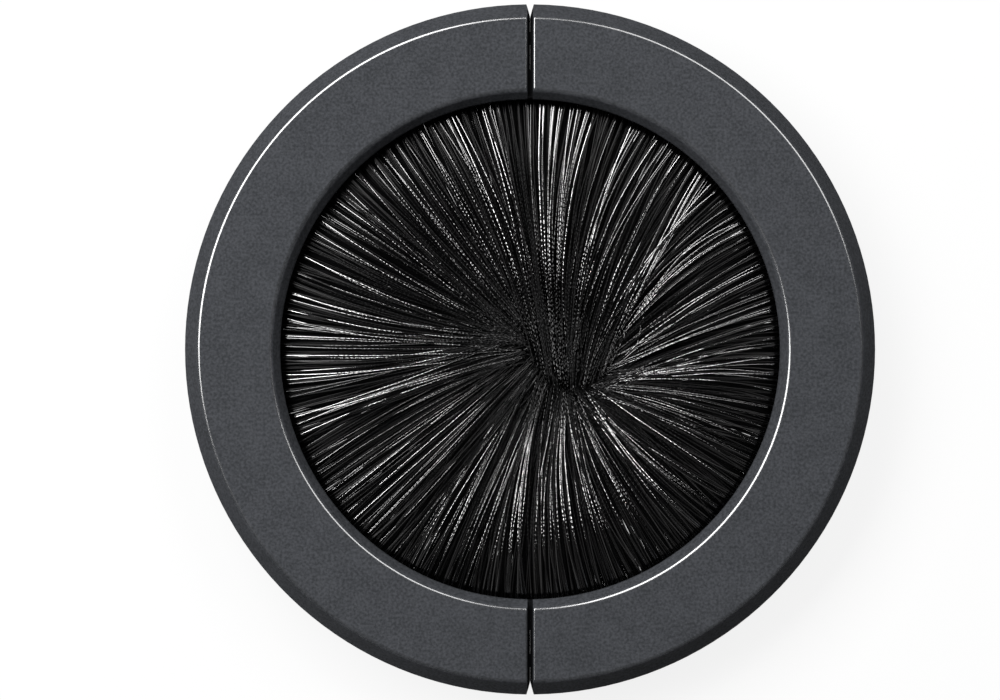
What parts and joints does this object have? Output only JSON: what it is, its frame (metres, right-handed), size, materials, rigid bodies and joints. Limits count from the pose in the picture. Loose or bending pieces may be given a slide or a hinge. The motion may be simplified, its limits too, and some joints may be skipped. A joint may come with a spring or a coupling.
{
  "type": "brush cable grommet",
  "caption": "Round split cable grommet: two plastic half rings with a collar for a panel cut-out hold a ring of inward nylon bristles that close round the cables.",
  "frame": {"origin": "on the axis of the ring, in the plane of the seat under the flange, where it meets the panel", "axes": "+Z along the axis, out of the visible face; +Y up in the picture, along the split between the halves; +X to the right"},
  "size_m": [0.14, 0.14, 0.02],
  "materials": {
    "frame_plastic": "dark grey moulded plastic with a fine grain",
    "channel_steel": "galvanised folded sheet",
    "wire_steel": "bright drawn wire",
    "bristle_nylon": "glossy black nylon filament"
  },
  "bodies": {
    "root": {"frame_half_left": "frame_plastic", "frame_half_right": "frame_plastic", "brush_channel_left": "channel_steel", "brush_channel_right": "channel_steel", "core_wire_left": "wire_steel", "core_wire_right": "wire_steel", "bristles_left": "bristle_nylon", "bristles_right": "bristle_nylon"}
  },
  "joints": []
}
